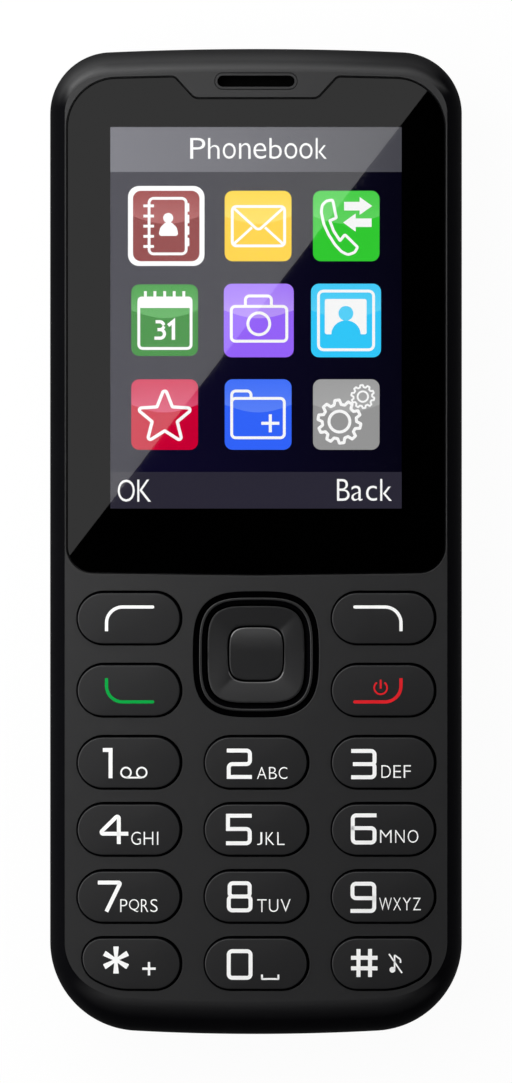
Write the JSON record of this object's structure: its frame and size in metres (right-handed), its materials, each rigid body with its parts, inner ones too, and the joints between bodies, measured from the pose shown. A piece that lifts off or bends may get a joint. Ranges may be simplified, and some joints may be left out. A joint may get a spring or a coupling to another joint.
{
  "type": "feature phone",
  "caption": "Bar-shaped feature phone with a notched display lens, pill-shaped keypad keys, a square four-way navigation key round a select key and a slide-off back cover.",
  "frame": {"origin": "on the back plane, under the middle of the phone, which lies on its back", "axes": "+Z out of the display, +Y along the phone to the earpiece end, +X to the right seen from the front"},
  "size_m": [0.0494, 0.1182, 0.0134],
  "materials": {
    "moulded_housing": "fine moulded grain, satin black",
    "key_caps": "satin black caps",
    "nav_trim": "gloss black",
    "clear_lens": "clear hard-coated acrylic",
    "black_foam": "matte",
    "display_glass": "flat glass over the picture",
    "light_guide_acrylic": "milky",
    "pressed_steel": "nickel-plated",
    "flex_film": "amber film",
    "acoustic_mesh": "fine black mesh",
    "silicone_rubber": "matte",
    "circuit_laminate": "solder mask",
    "gilt_brass": "gold flash",
    "black_nylon": "moulded",
    "camera_glass": "tinted window",
    "sintered_weight": "sintered",
    "battery_case": "dark film over an aluminium can"
  },
  "bodies": {
    "handset": {"front_cover": "moulded_housing", "display_lens": "clear_lens", "lens_tape": "black_foam", "display_gasket": "black_foam", "display_panel": "display_glass", "light_guide": "light_guide_acrylic", "display_frame": "pressed_steel", "display_flex": "flex_film", "earpiece_mesh": "acoustic_mesh", "earpiece_receiver": "pressed_steel", "keypad_mat": "silicone_rubber", "dome_sheet": "pressed_steel", "main_board": "circuit_laminate", "shield_can": "pressed_steel", "sim_holders": "pressed_steel", "memory_card_holder": "pressed_steel", "battery_contacts": "gilt_brass", "usb_socket": "pressed_steel", "headphone_jack": "black_nylon", "microphone": "pressed_steel", "loudspeaker": "black_nylon", "camera_module": "black_nylon", "camera_window": "camera_glass", "vibration_motor": "pressed_steel", "antenna": "gilt_brass", "battery": "battery_case", "rear_housing": "moulded_housing", "housing_screws": "pressed_steel"},
    "softkey_left": {"softkey_left": "key_caps"},
    "softkey_right": {"softkey_right": "key_caps"},
    "call_key": {"call_key": "key_caps"},
    "end_key": {"end_key": "key_caps"},
    "key_1": {"key_1": "key_caps"},
    "key_2": {"key_2": "key_caps"},
    "key_3": {"key_3": "key_caps"},
    "key_4": {"key_4": "key_caps"},
    "key_5": {"key_5": "key_caps"},
    "key_6": {"key_6": "key_caps"},
    "key_7": {"key_7": "key_caps"},
    "key_8": {"key_8": "key_caps"},
    "key_9": {"key_9": "key_caps"},
    "key_star": {"key_star": "key_caps"},
    "key_0": {"key_0": "key_caps"},
    "key_hash": {"key_hash": "key_caps"},
    "select_key": {"select_key": "key_caps"},
    "nav_ring": {"nav_ring": "nav_trim"},
    "nav_plate": {"nav_plate": "key_caps"},
    "motor_weight": {"motor_weight": "sintered_weight"},
    "back_cover": {"back_cover": "moulded_housing"}
  },
  "joints": [
    {"name": "softkey_left_press", "type": "slide", "parent": "handset", "child": "softkey_left", "axis": [0, 0, -1], "range_m": [0, 0.00035], "stiffness_N_per_m": 4000},
    {"name": "softkey_right_press", "type": "slide", "parent": "handset", "child": "softkey_right", "axis": [0, 0, -1], "range_m": [0, 0.00035], "stiffness_N_per_m": 4000},
    {"name": "call_key_press", "type": "slide", "parent": "handset", "child": "call_key", "axis": [0, 0, -1], "range_m": [0, 0.00035], "stiffness_N_per_m": 4000},
    {"name": "end_key_press", "type": "slide", "parent": "handset", "child": "end_key", "axis": [0, 0, -1], "range_m": [0, 0.00035], "stiffness_N_per_m": 4000},
    {"name": "key_1_press", "type": "slide", "parent": "handset", "child": "key_1", "axis": [0, 0, -1], "range_m": [0, 0.00035], "stiffness_N_per_m": 4000},
    {"name": "key_2_press", "type": "slide", "parent": "handset", "child": "key_2", "axis": [0, 0, -1], "range_m": [0, 0.00035], "stiffness_N_per_m": 4000},
    {"name": "key_3_press", "type": "slide", "parent": "handset", "child": "key_3", "axis": [0, 0, -1], "range_m": [0, 0.00035], "stiffness_N_per_m": 4000},
    {"name": "key_4_press", "type": "slide", "parent": "handset", "child": "key_4", "axis": [0, 0, -1], "range_m": [0, 0.00035], "stiffness_N_per_m": 4000},
    {"name": "key_5_press", "type": "slide", "parent": "handset", "child": "key_5", "axis": [0, 0, -1], "range_m": [0, 0.00035], "stiffness_N_per_m": 4000},
    {"name": "key_6_press", "type": "slide", "parent": "handset", "child": "key_6", "axis": [0, 0, -1], "range_m": [0, 0.00035], "stiffness_N_per_m": 4000},
    {"name": "key_7_press", "type": "slide", "parent": "handset", "child": "key_7", "axis": [0, 0, -1], "range_m": [0, 0.00035], "stiffness_N_per_m": 4000},
    {"name": "key_8_press", "type": "slide", "parent": "handset", "child": "key_8", "axis": [0, 0, -1], "range_m": [0, 0.00035], "stiffness_N_per_m": 4000},
    {"name": "key_9_press", "type": "slide", "parent": "handset", "child": "key_9", "axis": [0, 0, -1], "range_m": [0, 0.00035], "stiffness_N_per_m": 4000},
    {"name": "key_star_press", "type": "slide", "parent": "handset", "child": "key_star", "axis": [0, 0, -1], "range_m": [0, 0.00035], "stiffness_N_per_m": 4000},
    {"name": "key_0_press", "type": "slide", "parent": "handset", "child": "key_0", "axis": [0, 0, -1], "range_m": [0, 0.00035], "stiffness_N_per_m": 4000},
    {"name": "key_hash_press", "type": "slide", "parent": "handset", "child": "key_hash", "axis": [0, 0, -1], "range_m": [0, 0.00035], "stiffness_N_per_m": 4000},
    {"name": "select_key_press", "type": "slide", "parent": "handset", "child": "select_key", "axis": [0, 0, -1], "range_m": [0, 0.00035], "stiffness_N_per_m": 4000},
    {"name": "nav_left_right", "type": "hinge", "parent": "handset", "child": "nav_ring", "pos_m": [0, -0.01353, 0.0103], "axis": [0, 1, 0], "range_deg": [-2.5, 2.5], "stiffness_Nm_per_rad": 0.17},
    {"name": "nav_up_down", "type": "hinge", "parent": "nav_ring", "child": "nav_plate", "pos_m": [0, -0.01353, 0.0103], "axis": [1, 0, 0], "range_deg": [-2.5, 2.5], "stiffness_Nm_per_rad": 0.17},
    {"name": "motor_spin", "type": "hinge", "parent": "handset", "child": "motor_weight", "pos_m": [-0.01, -0.0395, 0.00455], "axis": [1, 0, 0], "continuous": true},
    {"name": "back_cover_slide", "type": "slide", "parent": "handset", "child": "back_cover", "axis": [0, -1, 0], "range_m": [0, 0.009]}
  ]
}
